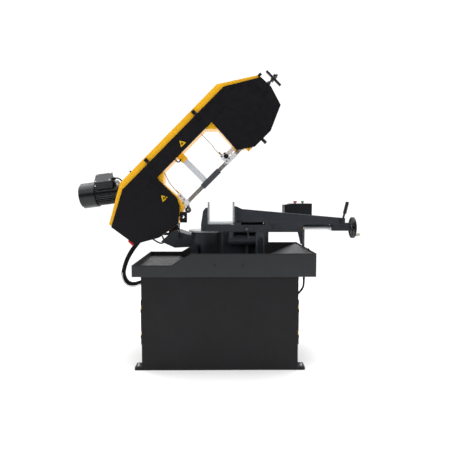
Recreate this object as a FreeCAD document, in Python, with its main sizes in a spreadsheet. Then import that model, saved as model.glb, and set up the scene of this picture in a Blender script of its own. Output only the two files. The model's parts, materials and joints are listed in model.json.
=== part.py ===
"""Metal-cutting band saw: a pivoting bow on a swivelling arm, over a vise, a chip tray and a cabinet.

Millimetres, +Z up, X along the machine, +Y away from the operator.
The origin is on the floor, in the middle of the four floor anchor holes.
The bow is drawn level, in its own frame, and then placed raised about its pivot.
"""
import FreeCAD, Part
import math
import os
import re

import Sketcher

V = FreeCAD.Vector
doc = FreeCAD.newDocument("band_saw")

# ---------------------------------------------------------------- driving sizes
SIZES = {
    # cabinet, rails and tray
    "cabinet_half": 504, "cabinet_front": -335, "cabinet_back": 335, "cabinet_top": 611,
    "sheet": 3, "rail_height": 19, "rail_half": 551, "rail_width": 80,
    "anchor_x": 528, "anchor_y": 278, "anchor_r": 9, "levelling_y": 315,
    "tray_left": -561, "tray_right": 614, "tray_half": 341, "tray_low": 683, "tray_high": 758.5,
    "tray_floor": 640,
    # doors
    "door_bottom": 158, "door_top": 450, "door_half": 300, "door_outer": 515,
    "hinge_x": 510, "hinge_y": -307, "pin_r": 2.5, "latch_y": 170, "latch_z": 320,
    # turntable
    "turn_x": -81.5, "post_r": 40, "drum_r": 125, "drum_top": 875, "disc_r": 142, "disc_top": 887,
    # vise
    "bed_top": 940, "plate_top": 951, "jaw_top": 1087, "jaw_front": -215, "jaw_back": -40,
    "fixed_face": -72, "moving_face": 87, "jaw_plate": 9,
    "beam_end": 559, "beam_top": 934, "screw_y": -145, "screw_z": 912, "screw_r": 12,
    "arm_under": 934.3, "wheel_x": 896, "wheel_r": 71.5,
    "boss_z": 832, "boss_r": 38, "lock_x": 190, "lock_z": 855, "clamp_x": 818, "clamp_z": 958,
    # bow pivot and bow
    "pivot_x": -355, "pivot_z": 943.5, "raised": 45, "pivot_r": 15,
    "frame_front": -60, "frame_back": 58, "cover_front": -77, "wall": 8,
    "drive_u": -85.5, "idler_u": 945, "wheel_w": 187, "star_w": 200, "blade_r": 172.5,
    "blade_thick": 0.9, "blade_wide": 27, "shaft_r": 25, "axle_r": 20,
    "box_reach": 248, "box_floor": -28, "beam_under": 278, "bow_back": 436, "cover_back": 389,
    "brace": 61, "shoulder": 38, "front_plate": 4, "front_lip": 46,
    "slot_w": 28.4, "brush_u": 150, "brush_w": -29, "near_leaf": 194, "far_leaf": 659,
    "twist_in": -40, "twist_out": 700, "twist_run": 174,
    # gearbox and motor, in the motor frame
    "motor_x": -569.44, "motor_y": 115, "motor_z": 1184.378, "motor_tilt": 7.33,
    "gear_drop": 170.5, "worm_r": 29.2, "gear_r": 141, "rotor_r": 14,
    # controls
    "box_left": 476, "box_right": 679, "box_front": 95, "box_back": 215, "box_low": 985, "box_top": 1073,
    "estop_x": 563, "start_x": 619, "button_y": 150,
    "fit": 0.06,
}
sheet = doc.addObject("Spreadsheet::Sheet", "sizes")
for row, (word, number) in enumerate(SIZES.items(), start=1):
    sheet.set(f"A{row}", word)
    sheet.set(f"B{row}", str(number))
    sheet.setAlias(f"B{row}", word)
doc.recompute()

WORD = re.compile(r"[a-z][a-z_]+")


def bound(term):
    """The expression of a term, with each size word read from the sheet."""
    return WORD.sub(lambda found: "sizes." + found.group(0), str(term))


def size(term):
    """The present value of a number or of an expression in size words."""
    if isinstance(term, (int, float)):
        return float(term)
    return float(sheet.evalExpression(bound(term)))


def tie(thing, path, term):
    """Bind a property to a size expression; a plain number is left as it is."""
    if not isinstance(term, (int, float)):
        thing.setExpression(path, bound(term))


def place(thing, frame):
    """Put a sub-part in a frame: (x, y, z) of its origin and its turn about Y in degrees, as sizes."""
    x, y, z, turn = frame
    middle = V(size(x), size(y), size(z))
    thing.Placement = FreeCAD.Placement(middle, FreeCAD.Rotation(V(0, 1, 0), size(turn)))
    tie(thing, "Placement.Base.x", x)
    tie(thing, "Placement.Base.y", y)
    tie(thing, "Placement.Base.z", z)
    if turn:
        tie(thing, "Placement.Rotation.Angle", turn)


MANY_CORNERS = 40     # toothed and finned outlines come from their own count and radii, not from corner sizes
MACHINE = (0, 0, 0, 0)
BOW = ("pivot_x", 0, "pivot_z", "-raised")
MOTOR = ("motor_x", 0, "motor_z", "-motor_tilt")


class Piece:
    """One separate part: a body made of pads and pockets, each from one sketch between two levels."""

    def __init__(self, label, frame=MACHINE):
        self.body = doc.addObject("PartDesign::Body", label)
        self.body.Label = label
        self.body.AllowCompound = True
        self.steps = 0
        place(self.body, frame)

    def plane(self, role):
        return next(o for o in self.body.Origin.OriginFeatures if o.Role == role)

    def sketch(self, side, level, loops):
        """Loops are polygons, lists of (across, up), or circles, tuples (across, up, radius)."""
        self.steps += 1
        name = f"{self.body.Label}_outline_{self.steps}"
        sk = self.body.newObject("Sketcher::SketchObject", name)
        sk.AttachmentSupport = [(self.plane(side + "_Plane"), "")]
        sk.MapMode = "FlatFace"
        sk.AttachmentOffset = FreeCAD.Placement(V(0, 0, size(level)), FreeCAD.Rotation())
        tie(sk, "AttachmentOffset.Base.z", level)
        for loop in loops:
            if isinstance(loop, tuple):
                self.circle(sk, *loop)
            else:
                self.polygon(sk, loop)
        return sk

    @staticmethod
    def fix(sk, kind, value, *where):
        number = sk.addConstraint(Sketcher.Constraint(kind, *where, size(value)))
        tie(sk, f"Constraints[{number}]", value)

    def circle(self, sk, across, up, radius):
        ring = Part.Circle(V(size(across), size(up), 0), V(0, 0, 1), size(radius))
        index = sk.addGeometry(ring)
        self.fix(sk, "DistanceX", across, -1, 1, index, 3)
        self.fix(sk, "DistanceY", up, -1, 1, index, 3)
        self.fix(sk, "Radius", radius, index)

    def polygon(self, sk, corners):
        flat = [V(size(across), size(up), 0) for across, up in corners]
        lines = [Part.LineSegment(a, b) for a, b in zip(flat, flat[1:] + flat[:1])]
        first = sk.addGeometry(lines[0])
        rest = [sk.addGeometry(line) for line in lines[1:]]
        every = [first] + rest
        for one, following in zip(every, rest + [first]):
            sk.addConstraint(Sketcher.Constraint("Coincident", one, 2, following, 1))
        if len(corners) > MANY_CORNERS:
            return
        for index, (across, up) in zip(every, corners):
            self.fix(sk, "DistanceX", across, -1, 1, index, 1)
            self.fix(sk, "DistanceY", up, -1, 1, index, 1)

    def step(self, kind, side, start, end, loops):
        """XZ sketches face -Y, so their levels count backwards along Y."""
        adding = kind == "PartDesign::Pad"
        if side == "XZ":
            level = f"-({end})" if adding else f"-({start})"
        else:
            level = start if adding else end
        if isinstance(level, str) and not WORD.search(level):
            level = size(level)
        sk = self.sketch(side, level, loops)
        feature = self.body.newObject(kind, f"{self.body.Label}_step_{self.steps}")
        feature.Profile = sk
        feature.Length = size(end) - size(start)
        if WORD.search(f"{start} {end}"):
            feature.setExpression("Length", bound(f"({end}) - ({start})"))
        sk.Visibility = False
        return self

    def add(self, side, start, end, *loops):
        return self.step("PartDesign::Pad", side, start, end, loops)

    def cut(self, side, start, end, *loops):
        return self.step("PartDesign::Pocket", side, start, end, loops)

    def spin(self, side, *loops):
        """Turn a half outline a full turn about the upward axis of its sketch."""
        sk = self.sketch(side, 0, loops)
        feature = self.body.newObject("PartDesign::Revolution", f"{self.body.Label}_step_{self.steps}")
        feature.Profile = sk
        feature.ReferenceAxis = (sk, ["V_Axis"])
        feature.Angle = 360
        sk.Visibility = False
        return self


def box(left, low, right, high):
    """A rectangle's corners."""
    return [(left, low), (right, low), (right, high), (left, high)]


def inset(corners, distance):
    """The corners of an outline moved inward by a distance, for a wall of even thickness."""
    corners = [(size(across), size(up)) for across, up in corners]
    area = sum(a[0] * b[1] - b[0] * a[1] for a, b in zip(corners, corners[1:] + corners[:1]))
    way = 1 if area > 0 else -1
    moved = []
    for before, here, after in zip(corners[-1:] + corners[:-1], corners, corners[1:] + corners[:1]):
        one = V(here[0] - before[0], here[1] - before[1], 0).normalize()
        two = V(after[0] - here[0], after[1] - here[1], 0).normalize()
        normal_one = V(-one.y, one.x, 0) * way
        normal_two = V(-two.y, two.x, 0) * way
        mitre = (normal_one + normal_two) * (distance / (1 + normal_one.dot(normal_two)))
        moved.append((here[0] + mitre.x, here[1] + mitre.y))
    return moved


def ring_of(count, radius, across=0, up=0, turn=0.0):
    """Points spread evenly on a circle."""
    steps = [turn + 2 * math.pi * number / count for number in range(count)]
    return [(across + radius * math.cos(a), up + radius * math.sin(a)) for a in steps]


def hexagon(across, up, radius):
    """A bolt head's outline around a centre."""
    return ring_of(6, radius, size(across), size(up))


def toothed(count, root, tip, across=0, up=0):
    """An outline with square-ended teeth or fins standing on a circle."""
    corners = []
    pitch = 2 * math.pi / count
    for number in range(count):
        for part_of_pitch, radius in ((0.0, root), (0.15, tip), (0.45, tip), (0.6, root)):
            angle = (number + part_of_pitch) * pitch
            corners.append((across + radius * math.cos(angle), up + radius * math.sin(angle)))
    return corners


def tube(label, points, radius, frame=MACHINE):
    """A round line of straight runs joined by tangent arcs; prints the arc radii."""
    stops = [V(*[size(value) for value in point]) for point in points]
    edges = []
    radii = []
    here = stops[0]
    for before, corner, after in zip(stops, stops[1:], stops[2:]):
        back = (before - corner)
        ahead = (after - corner)
        half_turn = (math.pi - back.getAngle(ahead)) / 2
        reach = 0.45 * min(back.Length, ahead.Length)
        radii.append(round(reach / math.tan(half_turn), 1))
        back.normalize()
        ahead.normalize()
        start = corner + back * reach
        end = corner + ahead * reach
        inward = (back + ahead).normalize()
        to_middle = reach / math.tan(half_turn) / math.cos(half_turn)
        middle = corner + inward * (to_middle - reach / math.tan(half_turn))
        edges.append(Part.LineSegment(here, start).toShape())
        edges.append(Part.Arc(start, middle, end).toShape())
        here = end
    edges.append(Part.LineSegment(here, stops[-1]).toShape())
    route = Part.Wire(edges)
    ring = Part.Wire([Part.makeCircle(radius, stops[0], stops[1] - stops[0])])
    thing = doc.addObject("Part::Feature", label)
    thing.Label = label
    thing.Shape = route.makePipeShell([ring], True, True)
    place(thing, frame)
    wanted = math.pi * radius ** 2 * route.Length
    ratio = thing.Shape.Volume / wanted
    print(f"{label}: length {route.Length:.1f} mm, arc radii {radii}, volume ratio {ratio:.4f}")
    return thing


# ---------------------------------------------------------------- cabinet, rails, tray
def standing_base():
    cabinet = Piece("cabinet")
    cabinet.add("XY", "rail_height", "cabinet_top",
                box("-cabinet_half", "cabinet_front", "cabinet_half", "cabinet_back"))
    cabinet.cut("XY", "rail_height + sheet", "cabinet_top - sheet",
                box("-cabinet_half + sheet", "cabinet_front + sheet",
                    "cabinet_half - sheet", "cabinet_back - sheet"))
    doorway = box("-door_half + 12", "door_bottom + 12", "door_half - 12", "door_top - 12")
    cabinet.cut("YZ", "-cabinet_half - 1", "cabinet_half + 1", doorway)
    cabinet.cut("YZ", "-cabinet_half - 1", "-cabinet_half + sheet + 1", (40, 505, 14))
    cabinet.cut("YZ", "cabinet_half - sheet - 1", "cabinet_half + 1", (-250, 470, 10.5))

    rails = Piece("base_rails")
    rails.add("XY", 0, "rail_height",
              box("-rail_half", "cabinet_front", "rail_half", "cabinet_front + rail_width"),
              box("-rail_half", "cabinet_back - rail_width", "rail_half", "cabinet_back"))
    anchors = [(f"{s}anchor_x", f"{d}anchor_y", "anchor_r") for s in ("-", "") for d in ("-", "")]
    levellers = [(f"{s}anchor_x", f"{d}levelling_y", 6.5) for s in ("-", "") for d in ("-", "")]
    rails.cut("XY", -1, "rail_height + 1", *anchors, *levellers)

    bolts = Piece("levelling_bolts")
    bolts.add("XY", 2, 37, *[(x, y, 6) for x, y, radius in levellers])
    bolts.add("XY", "rail_height", "rail_height + 9", *[hexagon(x, y, 10.5) for x, y, radius in levellers])

    tray = Piece("chip_tray")
    side = [("tray_left", "cabinet_top"), ("tray_right", "cabinet_top"), ("tray_right", "tray_high"),
            (-183, "tray_high"), (-309, "tray_low"), ("tray_left", "tray_low")]
    tray.add("XZ", "-tray_half", "tray_half", side)
    hollow = [("tray_left + sheet", 800), ("tray_left + sheet", 652), (-320, 652),
              (-300, "tray_floor"), (330, "tray_floor"), (590, 750),
              ("tray_right - sheet", 750), ("tray_right - sheet", 800)]
    tray.cut("XZ", "-tray_half + sheet", "tray_half - sheet", hollow)
    under = [("tray_left + sheet", 600), ("tray_left + sheet", 649), (-321, 649),
             (-301, "tray_floor - sheet"), (331, "tray_floor - sheet"), (591, 747),
             ("tray_right - sheet", 747), ("tray_right - sheet", 600)]
    tray.cut("XZ", "-tray_half + sheet", "tray_half - sheet", under)

    tank = Piece("coolant_tank")
    tank.add("XY", "rail_height + sheet", 230, box(-380, -190, 40, 190))
    tank.cut("XY", "rail_height + 8", 231, box(-375, -185, 35, 185))
    pump = Piece("coolant_pump")
    pump.add("XY", 230, 238, box(-290, -198, -170, 198))
    pump.add("XY", 238, 360, (-230, 0, 55))
    pump.add("XY", 60, 230, (-230, 0, 28))


def doors():
    """Each side door hangs on two hinges at its front edge and closes with a quarter-turn latch."""
    hinges = Piece("door_hinges")
    stations = (201, 371)
    for hand in ("-", ""):
        x = f"{hand}hinge_x"
        wall = f"{hand}cabinet_half"
        label = "left_door" if hand else "right_door"
        door = Piece(label)
        face = [f"{hand}(cabinet_half + 0.6)", f"{hand}door_outer"]
        outer = box(face[0], "-door_half", face[1], "door_half")
        door.add("XY", "door_bottom", "door_top", outer)
        inner = box(f"{hand}(cabinet_half - 1)", "-door_half + 2", f"{hand}(door_outer - 2)", "door_half - 2")
        door.cut("XY", "door_bottom + 2", "door_top - 2", inner)
        door.cut("YZ", f"{hand}hinge_x - 20", f"{hand}hinge_x + 20", ("latch_y", "latch_z", "8 + fit"))
        for foot in stations:
            leaf = box(f"{hand}(door_outer - 2)", "hinge_y", f"{hand}door_outer", "-door_half")
            door.add("XY", foot, foot + 24, leaf)
            door.add("XY", foot, foot + 24, (x, "hinge_y", 6))
            door.cut("XY", foot - 1, foot + 25, (x, "hinge_y", "pin_r + fit"))
            hinges.add("XY", foot + 24.4, foot + 49, (x, "hinge_y", 6))
            hinges.add("XY", foot + 24.4, foot + 49,
                       box(wall, "hinge_y - 16", f"{hand}(cabinet_half + 3)", "hinge_y"))
            hinges.add("XY", foot - 3, foot + 25, (x, "hinge_y", "pin_r"))
        latch = Piece("left_latch" if hand else "right_latch")
        reach = ["-door_outer - 14", "-door_outer - 0.4"] if hand else ["door_outer + 0.4", "door_outer + 14"]
        latch.add("YZ", reach[0], reach[1], ("latch_y", "latch_z", 14))
        stem = ["-door_outer - 2", "-cabinet_half - 2"] if hand else ["cabinet_half + 2", "door_outer + 2"]
        latch.add("YZ", stem[0], stem[1], ("latch_y", "latch_z", 8))
        bar = ["-door_outer - 20", "-door_outer - 10"] if hand else ["door_outer + 10", "door_outer + 20"]
        latch.add("YZ", bar[0], bar[1], box("latch_y - 5", "latch_z - 12", "latch_y + 5", "latch_z + 12"))


# ---------------------------------------------------------------- turntable and arm
def turntable():
    post = Piece("king_post")
    post.add("XY", "tray_floor", "tray_floor + 10", ("turn_x", 0, 110))
    post.add("XY", "tray_floor + 10", "drum_top + 2", ("turn_x", 0, "post_r"))

    disc = Piece("turntable_disc")
    disc.add("XY", "drum_top + 2", "disc_top", ("turn_x", 0, "disc_r"))

    casting = Piece("swivel_casting")
    casting.add("XY", "tray_floor + 12", "drum_top", ("turn_x", 0, "drum_r"))
    lower = [(-150, 770), (-200, 770), (-318, 764), (-416, 808),
             (-335, 880), (-294, 880), (-214, 853), (-150, 848)]
    casting.add("XZ", -60, 160, lower)
    casting.add("XY", "tray_floor + 12", 789, box(-207, -135, -150, -60))
    neck = [(-380, 845), (-389, "pivot_z"), (-321, "pivot_z"), (-300, 860)]
    casting.add("XZ", 105, 160, neck)
    casting.add("XZ", 105, 160, ("pivot_x", "pivot_z", 34))
    casting.cut("XZ", 104, 161, ("pivot_x", "pivot_z", "pivot_r"))
    casting.cut("XY", "tray_floor", "drum_top + 1", ("turn_x", 0, "post_r + fit"))
    casting.add("XZ", -143, -135, hexagon(-178.5, 720, 12))
    casting.add("XZ", 128, 134, box(-575, 836, -378, 855))
    gland = [(-584, 845.4), (-565, 827.6), (-555.4, 837.8), (-574.4, 855.6)]
    casting.add("XZ", 98, 134, gland)

    shaft = Piece("pivot_shaft")
    shaft.add("XZ", 60.5, 168, ("pivot_x", "pivot_z", "pivot_r"))
    shaft.add("XZ", 160, 168, ("pivot_x", "pivot_z", 24))

    rod = Piece("stop_rod")
    rod.add("XZ", -92, -60, box(-292, 838, -274, 850))
    rod.add("XY", 844, 938, (-283, -85, 3.5))
    rod.add("XY", 930, 940, hexagon(-283, -85, 6))


# ---------------------------------------------------------------- vise
def vise():
    bed = Piece("vise_bed")
    plan = [(-126, "jaw_front"), (220, "jaw_front"), (220, "jaw_back"), (-95, "jaw_back"), (-126, -100)]
    bed.add("XY", 894, "bed_top", plan)
    bed.cut("XY", "beam_top", "bed_top + 1", box(140, -216, 221, -39))
    bed.add("XY", "disc_top", 894, box(-120, -110, 0, -45))
    bed.add("XY", 885, "beam_top", box(56, -190, "beam_end", -100))
    bed.cut("YZ", 225, "beam_end + 1", ("screw_y", "screw_z", 14))

    support = Piece("bed_support")
    support.add("YZ", 55, 299, ("screw_y", "boss_z", "boss_r"))
    support.add("XY", 840, 885, box(60, -180, 90, -110))
    support.add("XY", "tray_floor", 885, box(240, -185, 299, -105))
    support.add("XY", 795, 885, box(290, -150, 330, -105))
    support.add("XY", "tray_floor", 810, box(175, -155, 192, -135))
    support.add("XY", 700, 885, box(20, -112, 245, -104))
    support.cut("XZ", -186, -165, box(256, 600, 289, 836))
    support.cut("XZ", -186, -165, (272.5, 836, 16.5))
    support.add("XZ", -240, -150, ("lock_x", "lock_z", 5))

    wear = Piece("bed_wear_plate")
    wear.add("XY", "bed_top", "plate_top", box("fixed_face", "jaw_front", "moving_face - 0.4", "jaw_back"),
             box("moving_face", "jaw_front", 140, "jaw_back"))
    wear.add("XY", "beam_top", "plate_top", box(141, -104, 299, -96))

    jaw = Piece("fixed_jaw")
    back = "fixed_face - jaw_plate"
    cheek = [(-126, "bed_top"), (back, "bed_top"), (back, 1047), (-97, 1047), (-112, 1027)]
    jaw.add("XZ", "jaw_front", -172, cheek)
    jaw.add("XY", "bed_top", 1047, box(-98, "jaw_front", back, "jaw_back"))

    plate = Piece("fixed_jaw_plate")
    plate.add("XY", "bed_top", "jaw_top", box(back, "jaw_front", "fixed_face", "jaw_back"))

    nut = Piece("vise_nut")
    nut.add("YZ", "beam_end - 34", "beam_end + 10", ("screw_y", "screw_z", 14))
    nut.add("YZ", "beam_end", "beam_end + 10", ("screw_y", "screw_z", 20))
    nut.cut("YZ", "beam_end - 35", "beam_end + 11", ("screw_y", "screw_z", "screw_r + fit"))

    slide = Piece("vise_slide")
    face = "moving_face + jaw_plate"
    arm = [(face, "plate_top + 0.4"), (300, "plate_top + 0.4"), (300, "arm_under"), (839, "arm_under"),
           (839, 978), (150, 1039), (112, 1057), (face, 1057)]
    slide.add("XZ", -190, -105, arm)
    slide.add("XY", "plate_top + 0.4", 1057, box(face, "jaw_front", 112, "jaw_back"))
    bracket = [(757, 892), (886, 892), (886, 945), (839, 945), (839, 940), (757, 940)]
    slide.add("XZ", -172, -118, bracket)
    slide.add("XY", "arm_under", 960, box(565, -105, 757, -92))
    slide.add("XY", 904, 960, box(565, -98, 757, -92))
    slide.cut("YZ", 750, 890, ("screw_y", "screw_z", "screw_r + fit"))
    slide.add("XZ", -208, -188, ("clamp_x", "clamp_z", 6))

    moving = Piece("moving_jaw_plate")
    moving.add("XY", "plate_top + 0.4", "jaw_top", box("moving_face", "jaw_front", face, "jaw_back"))

    screw = Piece("vise_screw")
    screw.add("YZ", 390, "wheel_x + 22", ("screw_y", "screw_z", "screw_r"))
    screw.add("YZ", 745, 756, ("screw_y", "screw_z", 18))
    screw.add("YZ", 887, "wheel_x", ("screw_y", "screw_z", 18))

    wheel = Piece("handwheel")
    wheel.add("YZ", "wheel_x", "wheel_x + 14", ("screw_y", "screw_z", "wheel_r"),
              ("screw_y", "screw_z", "wheel_r - 11"))
    wheel.add("YZ", "wheel_x", "wheel_x + 20", ("screw_y", "screw_z", 20))
    wheel.add("YZ", "wheel_x + 4", "wheel_x + 9", ("screw_y", "screw_z", "wheel_r - 5"))
    middle_y = size("screw_y")
    middle_z = size("screw_z")
    for number in range(3):
        angle = -math.pi / 2 + number * 2 * math.pi / 3
        along = V(math.cos(angle), math.sin(angle), 0)
        across = V(-along.y, along.x, 0) * 7
        near = V(middle_y, middle_z, 0) + along * 15
        far = V(middle_y, middle_z, 0) + along * 63
        spoke = [near + across, near - across, far - across, far + across]
        wheel.add("YZ", "wheel_x + 2", "wheel_x + 11", [(corner.x, corner.y) for corner in spoke])
    wheel.add("YZ", "wheel_x + 3", "wheel_x + 17", ("screw_y", "screw_z - 48", 11))
    wheel.cut("YZ", "wheel_x - 1", "wheel_x + 21", ("screw_y", "screw_z", "screw_r"))

    grip = Piece("crank_grip", ("wheel_x + 17", "screw_y", "screw_z - 48", 90))
    grip.spin("XZ", [(0, 0), (8, 0), (12, 10), (12.5, 30), (9, 42), (0, 44)])

    lever = Piece("clamp_lever", ("clamp_x", -198, "clamp_z", 13))
    lever.add("XZ", -7, 5, (0, 0, 15))
    lever.add("XZ", -4, 3, box(-6, 8, 6, 60))
    lever.cut("XZ", -8, 6, (0, 0, "6 + fit"))
    for ring in range(9):
        low = 52 + 9 * ring
        lever.add("XY", low, low + 6.5, (0, -5, 12))
    lever.add("XY", 52, 133, (0, -5, 9.5))

    lock = Piece("swivel_lock_lever")
    lock.add("XZ", -236, -222, ("lock_x", "lock_z", 11))
    stalk = [("lock_x - 6", "lock_z + 2"), ("lock_x + 6", "lock_z + 4"),
             ("lock_x - 7", "lock_z + 49"), ("lock_x - 17", "lock_z + 47")]
    lock.add("XZ", -233, -226, stalk)
    lock.add("XZ", -238, -221, ("lock_x - 13", "lock_z + 54", 9))
    lock.cut("XZ", -239, -220, ("lock_x", "lock_z", "5 + fit"))


# ---------------------------------------------------------------- bow
# A box around each wheel, its inner side box_reach from the wheel's middle,
# joined by a beam with 45-degree braces.
DRIVE_SIDE = "drive_u + box_reach"
IDLER_SIDE = "idler_u - box_reach"
FRAME_OUTLINE = [
    ("drive_u - 43", "box_floor + 4"), ("drive_u + 125", "box_floor - 23"), ("drive_u + 143", "box_floor + 4"),
    (f"{DRIVE_SIDE} - 58", "box_floor + 8"), (f"{DRIVE_SIDE} - 10", "box_floor + 32"),
    (f"{DRIVE_SIDE} + 7", "wheel_w - 100"), (DRIVE_SIDE, "beam_under - brace"),
    (f"{DRIVE_SIDE} + brace", "beam_under"), (f"{IDLER_SIDE} - brace", "beam_under"),
    (IDLER_SIDE, "beam_under - brace"), (f"{IDLER_SIDE} - 7", "wheel_w - 107"),
    (f"{IDLER_SIDE} - 17", "box_floor + 62"), (f"{IDLER_SIDE} + 45", "box_floor + 16"),
    ("idler_u - 152", "box_floor"), ("idler_u", "box_floor"), ("idler_u + 152", "box_floor + 68"),
    ("idler_u + 192", "wheel_w - 27"), ("idler_u + 212", "wheel_w + 88"), ("idler_u - shoulder", "bow_back"),
    ("drive_u + shoulder", "bow_back"), ("drive_u - 223", "wheel_w + 102"), ("drive_u - 194", "wheel_w - 124"),
]
COVER_OUTLINE = [
    ("drive_u - 43", "box_floor + 4"), ("drive_u + 125", "box_floor - 23"),
    (f"{DRIVE_SIDE} - 32", "box_floor + 53"), (f"{DRIVE_SIDE} - 3", "wheel_w - 107"),
    (f"{DRIVE_SIDE} - 3", "beam_under"), (f"{IDLER_SIDE} + 3", "beam_under"),
    (f"{IDLER_SIDE} - 11", "box_floor + 48"), ("idler_u - 152", "box_floor - 23"),
    ("idler_u", "box_floor - 23"), ("idler_u + 171", "box_floor + 53"),
    ("idler_u + 211", "wheel_w - 27"), ("idler_u + 206", "wheel_w + 67"),
    ("idler_u - 20", "cover_back"), ("drive_u + 20", "cover_back"),
    ("drive_u - 223", "wheel_w + 75"), ("drive_u - 194", "wheel_w - 124"),
]


def bow_castings():
    frame = Piece("bow_frame", BOW)
    frame.add("XZ", "frame_front", "frame_back", FRAME_OUTLINE)
    frame.cut("XZ", "frame_front + front_plate", "frame_back - wall", inset(FRAME_OUTLINE, size("wall")))
    opening = inset(FRAME_OUTLINE, size("front_lip"))
    frame.cut("XZ", "frame_front - 1", "frame_front + front_plate + 1", opening)
    frame.cut("XZ", -18, 18, box(85, -4, 175, 34), box(670, -4, 745, 34))
    frame.cut("XZ", "frame_back - wall - 1", "frame_back + 1", ("drive_u", "wheel_w", "shaft_r + fit"))
    frame.cut("YZ", 1120, 1190, (34, "star_w", "8 + fit"))
    foot = [("idler_u - 205", "box_floor - 15"), ("idler_u - 169", "box_floor - 15"),
            ("idler_u - 155", "box_floor + 8"), ("idler_u - 203", "box_floor + 23")]
    frame.add("XZ", "frame_front", -30, foot)
    hinge_plate = [(-40, -20), (0, -42), (70, -40), (110, -10), (110, 60), (60, 60), (-30, 32)]
    frame.add("XZ", "frame_back - 4", "frame_back + 16", hinge_plate)
    frame.add("XZ", "frame_back + 4", 103, (0, 0, 42))
    frame.cut("XZ", "frame_back - wall", 104, (0, 0, "pivot_r + fit"))

    stop = Piece("stop_bracket", BOW)
    stop.add("XZ", -72, -64, [(53, -54), (87, -89), (137, -40), (131, -25), (104, -3)])
    stop.cut("XZ", -73, -63, (96, -42, 9))
    stop.add("XZ", -64, "frame_front", box(86, -42, 99, -15))

    guide = Piece("drive_side_guide", BOW)
    block = [(f"{DRIVE_SIDE} - 10", -4), (198, -4), (198, 100), (176, 100),
             (f"{DRIVE_SIDE} + 7", "wheel_w - 100"), (f"{DRIVE_SIDE} - 10", "box_floor + 32")]
    guide.add("XZ", -28, 28, block)
    guide.cut("XZ", -0.8, 0.8, box(140, -5, 200, "slot_w"))
    guide.cut("XZ", -29, -20, (188, 48, 4), (188, 66, 4), (188, 84, 4))
    guide.add("XZ", 17, 23, [(138, -38), (162, -38), (186, -3), (160, -3)])
    guide.add("XZ", -18, 23, ("brush_u", "brush_w", 5))

    far_guide = Piece("idler_side_guide", BOW)
    far_guide.add("XZ", -28, 28, box(574, -4, 626, 76))
    far_guide.cut("XZ", -0.8, 0.8, box(573, -5, 627, "slot_w"))
    far_guide.cut("XZ", -29, -20, (586, 44, 4), (586, 62, 4), (614, 62, 4))
    far_guide.add("XZ", -14, 14, [(625, 38), (680.8, 38), (686.2, 64), (625, 64)])
    far_guide.add("XZ", -46, -28, (606, 44, 14))
    far_guide.add("XZ", -34, -30, [(622, -6), (668, -6), (671, 22), (622, 22)])
    far_guide.add("XZ", -34, -10, box(640, 40, 656, 50))
    far_guide.add("XZ", -34, -30, box(640, 20, 656, 50))

    sleeve = Piece("approach_bracket", BOW)
    sleeve.add("XZ", -42, -14, box(358, 226, 408, 278))
    sleeve.cut("XZ", -34.5, -21.5, box(361.7, 225, 404.3, 272))

    bar = Piece("approach_bar", BOW)
    bar.add("XZ", -34, -22, box(362, 24, 404, 234))
    bar.add("XZ", -34, -6, box(340, -9, 504, 31))
    bar.cut("XZ", -22.5, -5, box(339, -10, 505, 19))

    brush = Piece("chip_brush", BOW)
    brush.add("XZ", -14, 14, toothed(24, 19.5, 22, size("brush_u"), size("brush_w")))
    brush.cut("XZ", -15, 15, ("brush_u", "brush_w", "5 + fit"))


def tension_gear():
    carriage = Piece("tension_carriage", BOW)
    carriage.add("XZ", 20, 48, box(895, 147, 1005, 227))
    carriage.add("XZ", -20, 20, ("idler_u", "wheel_w", "axle_r"))
    carriage.add("XZ", -26, -20, ("idler_u", "wheel_w", 30))
    carriage.cut("YZ", 950, 1006, (34, "star_w", "8 + fit"))

    star = Piece("tension_handle", BOW)
    star.add("YZ", 975, 1275, (34, "star_w", 8))
    star.add("YZ", 1148, 1196, (34, "star_w", 15))
    star.add("YZ", 1222, 1262, (34, "star_w", 15))
    for number in range(4):
        angle = number * math.pi / 2
        along = V(math.cos(angle), math.sin(angle), 0)
        across = V(-along.y, along.x, 0)
        hub = V(34, size("star_w"), 0)
        spoke = [hub + along * 12 + across * 9, hub + along * 71 + across * 9,
                 hub + along * 71 - across * 9, hub + along * 12 - across * 9]
        star.add("YZ", 1231, 1245, [(corner.x, corner.y) for corner in spoke])


def wheels():
    """Flanged band wheels: a turned rim, web and hub, with round lightening holes."""
    def wheel(label, across, bore, hub, front, back):
        piece = Piece(label, bow_at(across))
        rim = "blade_r - fit"
        piece.add("XZ", -14, 14, (0, 0, rim), (0, 0, "blade_r - 22"))
        piece.add("XZ", -5, 5, (0, 0, "blade_r - 20"))
        piece.add("XZ", front, back, (0, 0, hub))
        windows = [(x, z, 26) for x, z in ring_of(6, 98)]
        piece.cut("XZ", -6, 6, *windows)
        piece.cut("XZ", -60, 60, (0, 0, bore))

    wheel("drive_wheel", "drive_u", "shaft_r", 44, -22, 34)
    wheel("idler_wheel", "idler_u", "axle_r + fit", 40, -18, 18)

    shaft = Piece("drive_shaft", BOW)
    shaft.add("XZ", -30, 146, ("drive_u", "wheel_w", "shaft_r"))
    shaft.add("XZ", -44, -22, hexagon("drive_u", "wheel_w", 34))


def bow_at(across):
    """A frame with the bow's tilt, on the wheel line at a place along the bow."""
    turn = math.radians(size("raised"))
    along = size(across)
    up = size("wheel_w")
    x = size("pivot_x") + along * math.cos(turn) - up * math.sin(turn)
    z = size("pivot_z") + along * math.sin(turn) + up * math.cos(turn)
    return (x, 0, z, "-raised")


def ribbon_section(u, w, tilt):
    """The blade's cross-section at a place on its lower run, turned about its own middle."""
    half_wide = size("blade_wide") / 2
    half_thick = size("blade_thick") / 2
    c = math.cos(tilt)
    s = math.sin(tilt)
    corners = []
    for y, z in box(-half_wide, -half_thick, half_wide, half_thick):
        corners.append(V(u, y * c - z * s, w + y * s + z * c))
    return Part.makePolygon(corners + corners[:1])


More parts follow.
